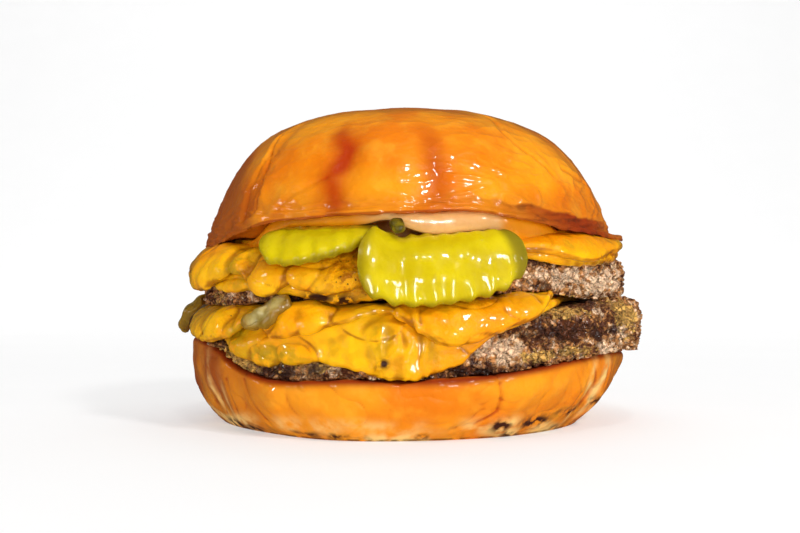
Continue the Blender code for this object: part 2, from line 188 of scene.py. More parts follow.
def hollows(relief, step):
    """How far each point of a relief lies below the mean of the four points some steps from it."""
    tall = np.pad(relief, ((step, step), (0, 0)), "edge")
    beside = np.roll(relief, step, 1) + np.roll(relief, -step, 1)
    return (tall[2 * step:] + tall[:-2 * step] + beside) / 4 - relief


def swell(loops, height):
    """Loops of points moved out along their surface's own normal, the cross product of the steps round
    and along it."""
    normal = np.cross(np.roll(loops, -1, 1) - np.roll(loops, 1, 1), np.gradient(loops, axis=0))
    normal /= np.linalg.norm(normal, axis=-1, keepdims=True) + 1e-6
    return loops + normal * height[..., None]


class Dye:
    """A socket of a finish. Sums, differences and products of dyes add Math nodes."""

    def __init__(self, finish, socket):
        self.finish = finish
        self.socket = socket

    def math(self, operation, *values):
        return self.finish.node("ShaderNodeMath", {"operation": operation}, dict(enumerate(values)))

    def __add__(self, other):
        return self.math("ADD", self, other)

    def __sub__(self, other):
        return self.math("SUBTRACT", self, other)

    def __rsub__(self, other):
        return self.math("SUBTRACT", other, self)

    def __mul__(self, other):
        return self.math("MULTIPLY", self, other)

    __radd__ = __add__
    __rmul__ = __mul__

    def rising(self, low, high):
        """A smooth step from 0 at low to 1 at high, which falls instead where low is the greater."""
        values = {"Value": self, "From Min": low, "From Max": high, "To Min": 0, "To Max": 1}
        return self.finish.node("ShaderNodeMapRange", {"interpolation_type": "SMOOTHSTEP"}, values)


class Finish:
    """A food's finish: a Principled shader with its constant values, and the nodes that feed it."""

    def __init__(self, name, constants):
        self.material = bpy.data.materials.new(name)
        self.material.use_nodes = True
        self.tree = self.material.node_tree
        self.shader = self.tree.nodes["Principled BSDF"]
        for socket, value in constants.items():
            self.shader.inputs[socket].default_value = value
        self.place = self.node("ShaderNodeTexCoord", {}, {}, "Object")

    def node(self, kind, settings, inputs, output=0):
        """A node of a kind: its settings are set first, then each input gets its value or link."""
        node = self.tree.nodes.new(kind)
        for setting, value in settings.items():
            setattr(node, setting, value)
        for key, value in inputs.items():
            if isinstance(value, Dye):
                self.tree.links.new(value.socket, node.inputs[key])
            else:
                node.inputs[key].default_value = value
        return Dye(self, node.outputs[output])

    def sized(self, size):
        """The inputs of a texture whose features are about size across on the object."""
        return {"Vector": self.place, "Scale": 1 / (size * MM)}

    def mask(self, name):
        return self.node("ShaderNodeAttribute", {"attribute_name": name}, {}, "Fac")

    def grain(self, size, detail):
        """Cloudy noise, 0 to 1, with patches about size across."""
        return self.node("ShaderNodeTexNoise", {}, self.sized(size) | {"Detail": detail})

    def crumbled(self, size, bend):
        """Crumbs about size across, with outlines bent by noise: a random number for each crumb, and
        how near a point is to a joint between crumbs."""
        noise = self.node("ShaderNodeTexNoise", {}, self.sized(size) | {"Detail": 3}, "Color")
        inputs = {0: noise, 1: (bend * MM,) * 3, 2: self.place}
        bent = self.node("ShaderNodeVectorMath", {"operation": "MULTIPLY_ADD"}, inputs)
        inputs = self.sized(size) | {"Vector": bent}
        chosen = self.node("ShaderNodeTexVoronoi", {}, inputs, "Color")
        near = self.node("ShaderNodeTexVoronoi", {"feature": "DISTANCE_TO_EDGE"}, inputs, "Distance")
        return self.node("ShaderNodeSeparateColor", {}, {"Color": chosen}, "Red"), near.rising(0.12, 0)

    def specks(self, spacing, size, share):
        """Small dark dots: the middles of some of the cells of a Voronoi pattern, 1 in a dot."""
        inputs = self.sized(spacing)
        distance = self.node("ShaderNodeTexVoronoi", {}, inputs, "Distance")
        chosen = self.node("ShaderNodeTexVoronoi", {}, inputs, "Color")
        red = self.node("ShaderNodeSeparateColor", {}, {"Color": chosen}, "Red")
        return distance.rising(size / spacing, size / spacing * 0.6) * red.rising(share, share * 0.9)

    def mix(self, amount, first, second):
        """The first colour where amount is 0 and the second where it is 1."""
        inputs = {0: amount, 6: first, 7: second}
        return self.node("ShaderNodeMix", {"data_type": "RGBA", "clamp_factor": True}, inputs, 2)

    def painted(self, under, *coats):
        """A colour with other colours over it, each as (amount, red, green, blue)."""
        colour = tint(*under)
        for amount, *over in coats:
            colour = self.mix(amount, colour, tint(*over))
        return colour

    def bumps(self, *reliefs):
        """Bump nodes one over another, as (height, distance), the relief where height goes from 0 to 1."""
        under = {}
        for height, distance in reliefs:
            inputs = {"Height": height, "Distance": distance * MM, "Strength": 1} | under
            under = {"Normal": self.node("ShaderNodeBump", {}, inputs)}
        return under["Normal"]

    def feed(self, **dyes):
        """Links dyes to the shader's sockets, named with _ for a space."""
        for name, dye in dyes.items():
            self.tree.links.new(dye.socket, self.shader.inputs[name.replace("_", " ")])


def tint(red, green, blue):
    """A colour given as a screen shows it, 0 to 255, turned into linear light."""
    light = [((c / 255 + 0.055) / 1.055) ** 2.4 if c > 10 else c / 255 / 12.92 for c in (red, green, blue)]
    return (*light, 1)


def added(name, data):
    """A new object in the scene."""
    thing = bpy.data.objects.new(name, data)
    bpy.context.scene.collection.objects.link(thing)
    return thing


def skin(name, node, loops, poles, finish, masks):
    """A closed piece through loops of points, shaped (loops, points, 3), with a fan to a pole over each
    end. It stands for a node of the frame, and each mask is a number for every point."""
    count, size = loops.shape[:2]
    points = (np.concatenate([loops.reshape(-1, 3), poles]) + CENTRING) * MM
    here = np.arange(size)
    after = (here + 1) % size
    rows = np.arange(count - 1)[:, None] * size
    quads = np.stack([rows + here, rows + after, rows + size + after, rows + size + here], -1).reshape(-1, 4)
    end = (count - 1) * size
    fans = [np.stack([after, here, np.full(size, count * size)], 1),
            np.stack([end + here, end + after, np.full(size, count * size + 1)], 1)]
    mesh = bpy.data.meshes.new(name)
    mesh.from_pydata(points, [], quads.tolist() + fans[0].tolist() + fans[1].tolist())
    for mask, values in masks.items():
        values = np.broadcast_to(values, loops.shape[:2])
        layer = mesh.attributes.new(mask, "FLOAT", "POINT")
        ends = [values[0].mean(), values[-1].mean()]
        layer.data.foreach_set("value", np.concatenate([values.ravel(), ends]).astype(np.float32))
    mesh.materials.append(finish.material)
    mesh.shade_smooth()
    piece = added(name, mesh)
    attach(piece, "root")
    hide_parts(node)
    return piece


def heel_loops(angle):
    """Rings out under the flat foot, up the wall and in over the cut top. At a share of the height the
    wall has gone 1 - (1 - share)^fullness of the way out from the foot."""
    wall, foot, rim = around(HEEL_RADIUS)(angle), around(HEEL_FOOT)(angle), around(HEEL_RIM)(angle)
    fullness = around(HEEL_FULLNESS)(angle)
    inner, shoulder = wall - HEEL_EDGE, rim - HEEL_EDGE
    cut = HEEL_MIDDLE + (rim - HEEL_MIDDLE) * inner / RIM_REACH
    share = np.linspace(0, 1, 90)[:, None]
    turn = np.linspace(0, math.pi / 2, 10)[1:, None]
    inwards = np.array([0.93, 0.8, 0.6, 0.3])[:, None]
    return np.concatenate([
        polar(foot * np.array([0.4, 0.8, 0.97])[:, None], angle, 0),
        polar(foot + (wall - foot) * (1 - (1 - share) ** fullness), angle, shoulder * share),
        polar(inner + HEEL_EDGE * np.cos(turn), angle, shoulder + (cut - shoulder) * np.sin(turn)),
        polar(inner * inwards, angle, HEEL_MIDDLE + (cut - HEEL_MIDDLE) * inwards),
    ])


angle = stations(640)
loops = heel_loops(angle)
wall_rows = (loops[..., 2] > 0) & (np.arange(len(loops))[:, None] < 102)
on_wall = wall_rows * np.sin(math.pi * np.clip(loops[..., 2] / 16.5, 0, 1)) ** 0.5
folds = lumps(loops * [1, 1, FOLD_WIDTH / FOLD_LENGTH], FOLD_WIDTH, 3)
wrinkles = lumps(loops * [1, 1, 0.35], 2.8, 4) + 0.5 * lumps(loops * [1, 1, 0.6], 1.3, 5)
squeezed = spot(loops, -150, 8, 14, 20) + spot(loops, -32, 8, 14, 20) + 0.35
relief = FOLD_DEPTH * folds + 0.13 * squeezed * wrinkles + pinched(loops, HEEL_CREASES, 0.6)
relief = relief - 0.2 * (1 - np.abs(lumps(loops, 6, 6))) ** 6 + 0.9 * lumps(loops, 8, 7)
loops = swell(loops, relief * on_wall)
loops[..., 2] = np.maximum(loops[..., 2], 0)
low = ease((6.2 - loops[..., 2]) / 4)
pale = low * ease(0.45 + 1.5 * lumps(loops * [1, 1, 1.6], 8.5, 8))
pale = np.maximum(pale, spots(loops, (
    (-111, 3, 4, 1.6, 0.9), (-99, 3.4, 6, 1.2, 0.7), (-64, 3.6, 3, 1.4, 1),
    (-92, 2.2, 8, 1.2, 0.6), (-38, 9, 1, 9, 1.1), (-31, 10, 1.4, 8, 1.3),
    (-150, 9, 1.2, 8, 0.7), (-144, 5, 1, 6, 0.6))))
scorch = ease((2.3 - loops[..., 2]) / 1.4) * ease(2.6 * lumps(loops, 6, 9) - 0.3)
scorch = np.maximum(scorch, 0.8 * ease((0.7 - loops[..., 2]) / 0.5))
scorch = np.maximum(scorch * ~np.isclose(loops[..., 2], 0), spots(loops, (
    (-66, 3, 2.6, 1.6, 1.5), (-54, 3, 5, 1.4, 1.6), (-41, 4.8, 6, 1, 1.3),
    (-149, 1.2, 6, 1.4, 1.2), (-137, 1, 5, 1, 1.2), (-28, 6.2, 5, 1.2, 1))))
# Painted shade: the heel's left side is darkened, as if less light reaches it.
left = ease((-24 - loops[..., 0]) / 20) * (0.55 + 0.6 * ease(0.5 + 1.5 * folds))
# Painted shade: a dark line round the rim of the cut top, where the patty sits on the heel.
cut_line = np.exp(-(((loops[..., 2] - around(HEEL_RIM)(angle)) / 1.1) ** 2))
# Painted shade: the hollows of the wall's folds and creases are darkened.
crease = ease(hollows(relief * on_wall, 5) / 0.22 - 0.35)
toast = np.maximum(0.75 * left, cut_line)
heel_masks = {"pale": pale, "scorch": scorch, "toast": toast, "dent": 0.75 * crease}

crust = Finish("crust", {"Subsurface Weight": 0.05, "Subsurface Scale": 0.0025, "Coat Roughness": 0.07,
                         "Subsurface Radius": (1, 0.35, 0.1), "Specular IOR Level": 0.12})
baked = crust.painted(
    (244, 152, 20),
    (crust.grain(16, 3).rising(0.35, 0.7), 228, 120, 6),
    (crust.grain(5, 4).rising(0.45, 0.75) * 0.4, 248, 174, 44),
    # The next two layers are painted shade in dents and creases, on the left sides of heel and crown, and
    # along the heel's join under the patty. On the crown the second also holds the darker baked top and the
    # toasted lip.
    (crust.mask("dent"), 172, 52, 0),
    (crust.mask("toast"), 138, 46, 4),
    (crust.mask("pale") * crust.grain(4, 3).rising(0.3, 0.6), 246, 200, 118),
    (crust.mask("scorch") * crust.grain(2.2, 3).rising(0.35, 0.6), 70, 32, 14),
    (crust.specks(9, 0.35, 0.16), 60, 25, 10))
crust.feed(Base_Color=baked, Normal=crust.bumps((crust.grain(1.1, 3), 0.12), (crust.grain(3.8, 2), 0.5)),
           Roughness=0.26 + 0.22 * crust.grain(3, 3) + 0.3 * crust.mask("scorch") + 0.3 * crust.mask("toast"),
           Coat_Weight=0.75 - 0.4 * crust.mask("pale") - 0.65 * crust.mask("toast"))
skin("heel", "bun_bottom", loops, [(0, 0, 0), (0, 0, HEEL_MIDDLE)], crust, heel_masks)

# Lower patty. A ball of minced beef smashed thin on the griddle, so its side is a ragged face of
# crumbs, charred dark in places and soaked with yellow cheese and fat in others. It lies on the
# heel and reaches past it on the right.

PATTY_SHOULDER = 4
PATTY_UNDERCUT = 1.2
LOWER_RADIUS = {180: 50, -150: 50.5, -120: 49.8, -90: 50, -60: 51.2, -35: 55, -10: 56.3, 20: 55.5, 60: 53.5,
    90: 52.5, 140: 51.5}
LOWER_MIDDLE = 26.2
LOWER_RIM = {180: 24.3, -145: 24.2, -120: 24.8, -90: 25.2, -60: 27, -40: 28.5, 0: 29, 90: 27.2, 140: 25.5}


class Disc:
    """A round layer that others drape over: its outline, its top and the roundness of its upper edge."""

    def __init__(self, radius, middle, rim, shoulder):
        self.radius = around(radius)
        self.middle = middle
        self.rim = around(rim)
        self.shoulder = shoulder

    def top(self, r, angle):
        """The height of the top, straight from the middle to the rim."""
        return self.middle + (self.rim(angle) - self.middle) * r / RIM_REACH

    def flat(self, angle):
        """How far out the top goes before it turns down."""
        return self.radius(angle) - self.shoulder

    def drape(self, beyond, angle, path, height):
        """The point height above the disc, reached by going beyond its flat top by that length,
        measured on the path at height path: round the shoulder as an arc, and then straight down."""
        turn = np.clip(beyond / (self.shoulder + path), 0, math.pi / 2)
        hang = np.maximum(beyond - (self.shoulder + path) * math.pi / 2, 0)
        bend = self.shoulder + height
        r = self.flat(angle) + np.minimum(beyond, 0) + bend * np.sin(turn)
        z = self.top(r, angle) + height - bend * (1 - np.cos(turn)) - hang
        return polar(r, angle, z)


def grains(points, size, seed):
    """Rounded grains about size across with sunk joints, 0 to 1: the difference between the distances
    to the two nearest of points scattered one to a cell, eased and domed."""
    places = points / size
    cell = np.floor(places).astype(np.int64)
    first = np.full(places.shape[:-1], 9.0)
    second = first.copy()
    for step in itertools.product((-1, 0, 1), repeat=3):
        middle = cell + step + np.stack(scatter(cell + step, seed), -1)
        distance = np.linalg.norm(places - middle, axis=-1)
        second = np.minimum(second, np.maximum(first, distance))
        first = np.minimum(first, distance)
    return ease((second - first) / 0.45) * (1 - 0.45 * np.clip(first, 0, 1) ** 2)


def crumbs(points, seed):
    """How far minced beef stands out, 0 to 1: grains about 3.6 and 1.5 mm across, bent out of line by noise,
    over uneven ground."""
    bent = points + 0.7 * np.stack([lumps(points, 2.1, seed + k) for k in range(3)], -1)
    ground = 0.5 + 0.6 * lumps(points, 5, seed + 3)
    return 0.40 * grains(bent, 3.6, seed + 4) + 0.26 * grains(bent, 1.5, seed + 5) + 0.34 * ground


def patty_loops(disc, under, sag, flare, angle):
    """Rings out along the underside, up the side as a quarter turn over the undercut, which flares out
    low down, and over the shoulder to the flat top."""
    wall, foot = disc.radius(angle), disc.radius(angle) - PATTY_UNDERCUT
    base = under(foot, angle) - around(sag)(angle) - CLEARANCE
    side = disc.top(wall, angle) - disc.shoulder - base
    inner = foot - 3.4
    level = under(inner, angle)
    inwards = np.array([0.3, 0.7, 1.0])[:, None]
    creep = np.linspace(0, 1, 7)[1:-1, None]
    turn = np.linspace(0, math.pi / 2, 60)[:, None]
    back = np.linspace(math.pi / 2, 0, 26)[1:, None]
    flat = disc.flat(angle)
    return np.concatenate([
        polar(inner * inwards, angle, under(inner * inwards, angle)),
        polar(inner + (foot - inner) * creep, angle, level + (base - level) * creep),
        polar(foot + (PATTY_UNDERCUT + around(flare)(angle) * np.cos(turn)) * np.sin(turn) ** 0.5, angle,
              base + side * (1 - np.cos(turn))),
        disc.drape(disc.shoulder * back, angle, 0, 0),
        polar(flat * inwards[::-1] * 0.9, angle, disc.top(flat * inwards[::-1] * 0.9, angle)),
    ])


def patty(name, node, disc, under, sag, flare, depth, seed, char, soak, ash):
    """A patty whose crumbs stand out of its smooth outline and are cut into it, over the depth in all.
    char, soak and ash are marks for black, yellow and pale grey crumb, over patches all the way round."""
    angle = stations(980)
    loops = patty_loops(disc, under, sag, flare, angle)
    bare = crumbs(loops, seed)
    edge = ease((np.linalg.norm(loops[..., :2], axis=-1) - disc.flat(angle) + 4) / 4)
    stood = swell(loops, depth * edge * (bare - 0.45)) - loops
    stood[..., 2] = np.maximum(stood[..., 2], 0)
    loops = loops + stood
    deepest, shallow = np.quantile(bare, (0.04, 0.24))
    masks = {
        # Painted shade in the deepest pits between the crumbs.
        "pit": ease((shallow - bare) / (shallow - deepest)),
        "char": np.clip(spots(loops, char) + 0.35 * lumps(loops, 10, seed + 6), 0, 1),
        "soak": np.clip(spots(loops, soak) + 0.3 * lumps(loops, 8, seed + 7) - 0.1, 0, 1),
        "ash": np.clip(spots(loops, ash) + 0.3 * lumps(loops, 7, seed + 8), 0, 1),
    }
    return skin(name, node, loops, [(0, 0, under(0, 0)), (0, 0, disc.middle)], beef, masks)


def above_heel(r, angle):
    return HEEL_MIDDLE + (around(HEEL_RIM)(angle) - HEEL_MIDDLE) * r / RIM_REACH + CLEARANCE


beef = Finish("beef", {"Subsurface Weight": 0.08, "Subsurface Scale": 0.0012, "Coat Roughness": 0.15,
                       "Subsurface Radius": (1, 0.4, 0.25), "IOR": 1.45})
clump, clump_joint = beef.crumbled(2.8, 2.6)
crumb, crumb_joint = beef.crumbled(1.2, 1.2)
shade = 0.42 * clump + 0.24 * crumb + 0.5 * beef.mask("ash") - 0.4 * beef.mask("char")
shade = shade + 1.8 * (beef.grain(1.7, 5) - 0.5) + 0.9 * (beef.grain(6, 2) - 0.5) + 0.15
joint = (clump_joint * 0.55 + crumb_joint * 0.3) * (0.8 - 0.45 * beef.mask("ash"))
meat = beef.painted(
    (96, 48, 18),
    (shade.rising(0.22, 0.45), 202, 136, 72),
    (shade.rising(0.56, 0.8), 255, 214, 172),
    ((0.6 * crumb + beef.mask("soak")).rising(0.6, 0.85), 224, 172, 84),
    (beef.mask("char") * beef.grain(2.4, 4).rising(0.42, 0.54), 40, 20, 12),
    (joint, 96, 50, 24),
    # Painted shade in the deepest pits.
    (beef.mask("pit") * 0.6, 68, 32, 14))
beef.feed(Base_Color=meat,
          Normal=beef.bumps((beef.grain(0.6, 3), 0.15), (1 - crumb_joint, 0.3), (1 - clump_joint, 0.5)),
          Roughness=0.34 + 0.3 * beef.grain(1.4, 2) + 0.2 * beef.mask("ash"),
          Coat_Weight=0.5 * beef.grain(3, 2).rising(0.45, 0.65))
LOWER_PATTY = Disc(LOWER_RADIUS, LOWER_MIDDLE, LOWER_RIM, PATTY_SHOULDER)
lower_patty = patty(
    "lower_patty", "patty_lower", LOWER_PATTY, above_heel, {0: 0},
    {180: 2.2, -145: 2.4, -120: 2.6, -90: 2.2, -60: 1.2, -40: 0, 60: 0, 110: 1.2}, 2.6, 11,
    char=((-52, 23.5, 7.5, 2.6, 1), (-38, 22.5, 7, 2.4, 0.9), (-75, 14.8, 9, 1.4, 1),
        (-62, 15.5, 5, 1.4, 0.7), (-124, 14.8, 6, 2.2, 1), (-114, 14.8, 3, 1.8, 0.8), (-40, 29, 9, 1.5, 0.7),
        (-146, 21, 3, 3, 0.8)),
    soak=((-50, 27.2, 6, 1.6, 1.2), (-58, 17.8, 5, 1.4, 1.3), (-48, 18.6, 6, 1.2, 1.2),
        (-27, 26, 6, 3.5, 1.3), (-24, 21.5, 4, 3, 0.7), (-140, 16.5, 11, 3, 1.4), (-122, 17, 8, 1.2, 1.2),
        (-112, 15.5, 3, 1.4, 1)),
    ash=((-72, 20, 7, 2, 1), (-64, 18.8, 5, 2.4, 0.9), (-36, 19, 6, 2, 0.9), (-31, 22, 3, 3, 0.9),
        (-117, 15, 3, 1.6, 0.8), (-138, 17, 10, 3, 1)))

# Cheese of the lower patty. Two square slices laid over the patty on the griddle and melted, so they
# run down its side in lobes, folds and strings and hang over its rim at their corners.

SLICE = 1.7
SLICE_ROWS = 11
PAIR = 2 * (CLEARANCE + SLICE)
# How far each slice goes beyond the flat top of its patty.
LOWER_FIRST = {180: 3, -165: 4.8, -150: 6.2, -140: 8, -131: 12.2, -120: 12.4, -108: 12.8, -100: 14.6,
    -84: 14.9, -78: 13, -72: 9.2, -62: 6, -50: 1, -38: -7, 0: -7.5, 16: -4.5, 31: 1, 44: 8, 56: 6, 90: 2,
    120: 4.5, 133: 9, 150: 5}
LOWER_SECOND = {180: 1, -169: 6.4, -158: 10, -145: 10.8, -136: 9, -131: 4.5, -125: 9.8, -117: 9.2, -105: 6.8,
    -95: 4, -89: 8.2, -82: 12, -75: 11.6, -67: 9.6, -60: 8, -52: 2, -43: -7.2, 0: -9, 20: -7, 50: -3, 68: 4,
    82: 10.5, 96: 9.5, 112: 3, 150: 0}


def slice_loops(disc, below, reach, angle):
    """Rings out along a draped slice's underside, round its edge as half an ellipse, and back over its top,
    which cheese thickens along the edge like a bead."""
    path = below + SLICE / 2
    inner, outer = np.minimum(reach - 2 * SLICE, 0), reach - 0.7 * SLICE
    out = np.linspace(0, 1, SLICE_ROWS + 1)[:, None]
    turn = np.linspace(0, math.pi, 12)[1:-1, None]
    back = np.linspace(1, 0, 80)[:, None]
    rolled = disc.drape(outer + 0.7 * SLICE * np.sin(turn), angle, path, path - SLICE / 2 * np.cos(turn))
    return np.concatenate([
        disc.drape(inner + (outer - inner) * out, angle, path, below),
        rolled,
        disc.drape(inner + (outer - inner) * back, angle, path, below + SLICE),
    ])


def lobe(points, *place):
    """A full lobe on the burger's side, (1 - oval)^0.8, with its outline made uneven by noise."""
    return np.clip(1 - oval(points, *place) - 0.45 * lumps(points, 4.2, 36), 0, 1) ** 0.8


def cheese(name, node, disc, below, beyond, relief, masks):
    """A melted slice. relief gives how far its outer face stands out at points, and masks the marks of
    each of its colours."""
    angle = stations(760)
    wavy = polar(RIM_REACH, angle, below)
    reach = around(beyond)(angle) + 0.4 * lumps(wavy, 4.5, 31) + 0.2 * lumps(wavy, 1.8, 32)
    loops = slice_loops(disc, below, reach, angle)
    rows = np.arange(len(loops))[:, None]
    outside = ease((rows - SLICE_ROWS) / 6)
    bead = np.exp(-(((rows - 2 * SLICE_ROWS) / 14) ** 2))
    folds = lumps(loops * [1, 1, 1.5], 10.5, 33)
    creased = (1 - np.abs(lumps(loops * [1, 1, 1.8], 15, 35))) ** 12
    soft = 0.4 * folds + 0.12 * lumps(loops, 2.4, 34) - 0.3 * creased
    near_rim = ease((np.linalg.norm(loops[..., :2], axis=-1) - disc.flat(angle) + 5) / 4)
    height = outside * near_rim * (soft + 0.3 * bead + relief(loops))
    loops = swell(loops, height)
    poles = [(0, 0, disc.middle + below), (0, 0, disc.middle + below + SLICE)]
    # Painted shade: the hollows of the relief, and the underside and rolled edge of the slice, are darkened.
    deep = np.clip(hollows(height, 3) / 0.18 + hollows(height, 9) / 0.9 - 0.2 + 0.8 * (rows < 20), 0, 1)
    colours = {"deep": deep} | {key: spots(loops, marks) for key, marks in masks.items()}
    return skin(name, node, loops, poles, melt, colours)


def strings(points, seed):
    """Melted strings running down: noise stretched along Z and sharpened into ridges."""
    bent = points + 1.2 * np.stack([lumps(points, 6, seed + k) for k in range(3)], -1)
    return (1 - np.abs(lumps(bent * [1, 1, 0.3], 3.6, seed))) ** 2 - 0.4


melt = Finish("melted cheese", {"Subsurface Weight": 0.25, "Subsurface Scale": 0.002, "Coat Roughness": 0.05,
                                "Subsurface Radius": (1, 0.6, 0.12), "IOR": 1.45, "Specular IOR Level": 0.15})
curd = melt.painted(
    (254, 186, 14),
    (melt.grain(9, 2).rising(0.35, 0.7), 246, 160, 6),
    (melt.grain(4, 4).rising(0.52, 0.72) * 0.35, 226, 138, 4),
    # Deeper orange: partly the cheese's own tone, partly painted shade on the upper parts of the lobes.
    (melt.mask("warm"), 230, 132, 4),
    # Painted shade in hollows and under the slice.
    (melt.mask("deep") * 0.8, 150, 80, 4),
    # Olive: partly the tone of thin cheese over the meat, partly painted shade on folds at the front left.
    (melt.mask("olive") * melt.grain(3.4, 3).rising(0.38, 0.58), 184, 142, 14),
    (melt.mask("browned") * melt.grain(1.8, 3).rising(0.5, 0.62) * 0.7, 150, 72, 12),
    (melt.mask("burnt") * melt.grain(1.4, 3).rising(0.36, 0.5), 58, 28, 12),
    (melt.specks(4.4, 0.3, 0.34), 92, 44, 10),
    (melt.mask("browned") * melt.specks(1.3, 0.28, 0.55), 60, 28, 12))
melt.feed(Base_Color=curd,
          Normal=melt.bumps((melt.grain(1, 2), 0.07), (melt.grain(2.4, 3), 0.5),
                            (melt.mask("browned") * melt.grain(1.8, 3), 1.6)),
          Roughness=0.26 + 0.16 * melt.grain(4, 2),
          Coat_Weight=0.65 + 0.3 * melt.grain(6, 2).rising(0.4, 0.7))


def lower_first_relief(points):
    """Strings at the front, one long fold that climbs from the left to under the pickles, and small
    lobes below it."""
    running = spot(points, -91, 19, 8.5, 8)
    fold = stroke(points, ((-140.6, 19), (-126, 20.9), (-108.5, 23.8), (-92.4, 29)), 1.7)
    small = np.max([lobe(points, -135, 19, 3.4, 2.6), lobe(points, -127, 17.8, 3.4, 2.6),
                    lobe(points, -118.5, 18, 4.2, 2.6)], axis=0)
    return 1.4 * running * strings(points, 41) + 1.3 * fold + 0.8 * small


def lower_second_relief(points):
    """A full round tongue at the front left, a taut fold over it and a smooth sheet on the right."""
    tongue = lobe(points, -117.5, 26.8, 7.8, 5.2, 8)
    sheet = lobe(points, -76.5, 26.2, 10.5, 5.6, 6)
    corner = lobe(points, -144.5, 24.8, 4.8, 4.2)
    small = lobe(points, -63, 28.8, 4.4, 2.6, 20)
    running = spot(points, -92, 25, 5, 7)
    return (1.5 * tongue + 0.9 * sheet + 1.3 * corner + 0.9 * small
            + 1.2 * running * strings(points, 42))


lower_masks = {
    # Some olive marks at the front left are painted shade on folds.
    "olive": ((-124, 18.2, 11, 2.6, 1), (-136, 20.5, 4, 5, 1), (-97, 21.5, 2.8, 5, 0.8),
        (-108, 19, 5, 3, 0.5), (-134, 24.3, 2.6, 4, 0.9), (-150, 26, 3, 5, 0.6), (-60, 29, 4, 3, 0.4),
        (-86, 19, 2.4, 4, 0.6)),
    # Some warm marks, on the upper part of the tongue, are painted shade.
    "warm": ((-74, 26.2, 12, 7, 0.55), (-116, 28.5, 7, 4, 0.3), (-60, 20, 8, 4, 0.4)),
    "browned": ((-97, 15.8, 1.2, 1, 1), (-60, 21.5, 5, 1, 0.6), (-112, 14.8, 8, 0.8, 0.6)),
    "burnt": ((-96, 16.8, 1, 1, 1.3), (-126, 15, 9, 0.8, 0.9)),
}
FIRST_SLICE = CLEARANCE
SECOND_SLICE = 2 * CLEARANCE + SLICE
cheese("lower_cheese_first", "cheese_lower_first", LOWER_PATTY, FIRST_SLICE, LOWER_FIRST,
               lower_first_relief, lower_masks)
cheese("lower_cheese_second", "cheese_lower_second", LOWER_PATTY, SECOND_SLICE, LOWER_SECOND,
               lower_second_relief, lower_masks)

# Grilled onion. Limp, nearly clear pieces with olive-brown rims, tucked between the lower cheese and
# the upper patty at the front left and at the far left.

ONION_THICK = 2.4
ONTO = PAIR + CLEARANCE


class Patch:
    """A flat oval laid on a disc. Its middle is at an angle and a length beyond the disc's flat top; it
    is half_length long round the burger and half_width wide down it, turned in its own plane, and
    lies height above the disc."""

    def __init__(self, disc, degrees, beyond, half_length, half_width, turned, height, thick):
        self.disc = disc
        self.angle = math.radians(degrees)
        self.beyond = beyond
        self.half_length = half_length
        self.half_width = half_width
        self.turned = math.radians(turned)
        self.height = height
        self.thick = thick

    def place(self, along, across, up):
        """The point along and across the patch, up above its underside."""
        u = along * math.cos(self.turned) - across * math.sin(self.turned)
        v = along * math.sin(self.turned) + across * math.cos(self.turned)
        path = self.height + self.thick / 2
        radius = self.disc.radius(self.angle) + path
        return self.disc.drape(self.beyond + v, self.angle + u / radius, path, self.height + up)


def patch_loops(shape, roundness, rise, notch, columns, rows):
    """Loops across an oval from one end to the other: over its outer face, round its edges as half
    circles and back under. The outline is a superellipse, |x|^n + |y|^n = 1, with notches in it, and
    rise lifts both faces alike."""
    t = np.linspace(-1, 1, columns)[:, None]
    along = shape.half_length * 0.992 * np.sin(t * math.pi / 2)
    wide = shape.half_width * (1 - np.abs(along / shape.half_length) ** roundness) ** (1 / roundness)
    wide = wide * (1 + notch(along))
    half = np.minimum(shape.thick / 2, wide * 0.6)
    s = np.linspace(-1, 1, rows)[None, :]
    turn = np.linspace(0, math.pi, 9)[None, 1:-1]
    core = wide - half
    bulge = core + half * np.sin(turn)
    across = np.concatenate([core * s, bulge, core * s[:, ::-1], -bulge], 1)
    level = np.concatenate([1 + 0 * s, np.cos(turn), -1 + 0 * s, -np.cos(turn)], 1)
    up = shape.thick / 2 + half * level + rise(along, across)
    return shape.place(along + 0 * across, across, up), along + 0 * across, across / shape.half_width, level


def patch(name, node, shape, finish, roundness=2.4, rise=None, notch=None, columns=260, rows=70, rough=0.2,
          ledge=0):
    """A thin soft slice with uneven faces, whose lower border lies lower by a ledge. Its masks say how
    near its rim, its lower border and its ends each point is."""
    flat = rise or (lambda along, across: 0 * across)
    plain = notch or (lambda along: 0 * along)
    loops, along, across, level = patch_loops(shape, roundness, flat, plain, columns, rows)
    border = ease((-0.58 - across) / 0.07)
    loops = swell(loops, (rough * lumps(loops, 3.6, 52) - ledge * border) * (level > -0.5))
    rim = np.clip(np.abs(along / shape.half_length) ** 3 + np.abs(across) ** 3, 0, 1)
    poles = [loops[0].mean(0), loops[-1].mean(0)]
    masks = {"rim": rim, "end": along / shape.half_length, "border": border}
    return skin(name, node, loops, poles, finish, masks)


onion = Finish("grilled onion", {"Subsurface Weight": 0.5, "Subsurface Scale": 0.003, "Coat Roughness": 0.1,
                                 "Subsurface Radius": (1, 0.9, 0.4), "IOR": 1.4})
limp = onion.painted(
    (196, 180, 122),
    (onion.grain(3.5, 3).rising(0.35, 0.65), 150, 128, 56),
    (onion.mask("rim").rising(0.15, 0.7), 140, 106, 26),
    (onion.grain(1.2, 3).rising(0.6, 0.7) * 0.8, 84, 60, 20))
onion.feed(Base_Color=limp, Normal=onion.bumps((onion.grain(1.8, 2), 0.25)),
           Roughness=0.22 + 0.2 * onion.grain(3, 2), Coat_Weight=0.5 + 0.2 * onion.grain(5, 2))


def limp_rise(along, across):
    """A low wave along a limp piece of onion."""
    return 0.3 * np.sin(along / 1.6) + 0.2 * np.cos(across / 1.1)


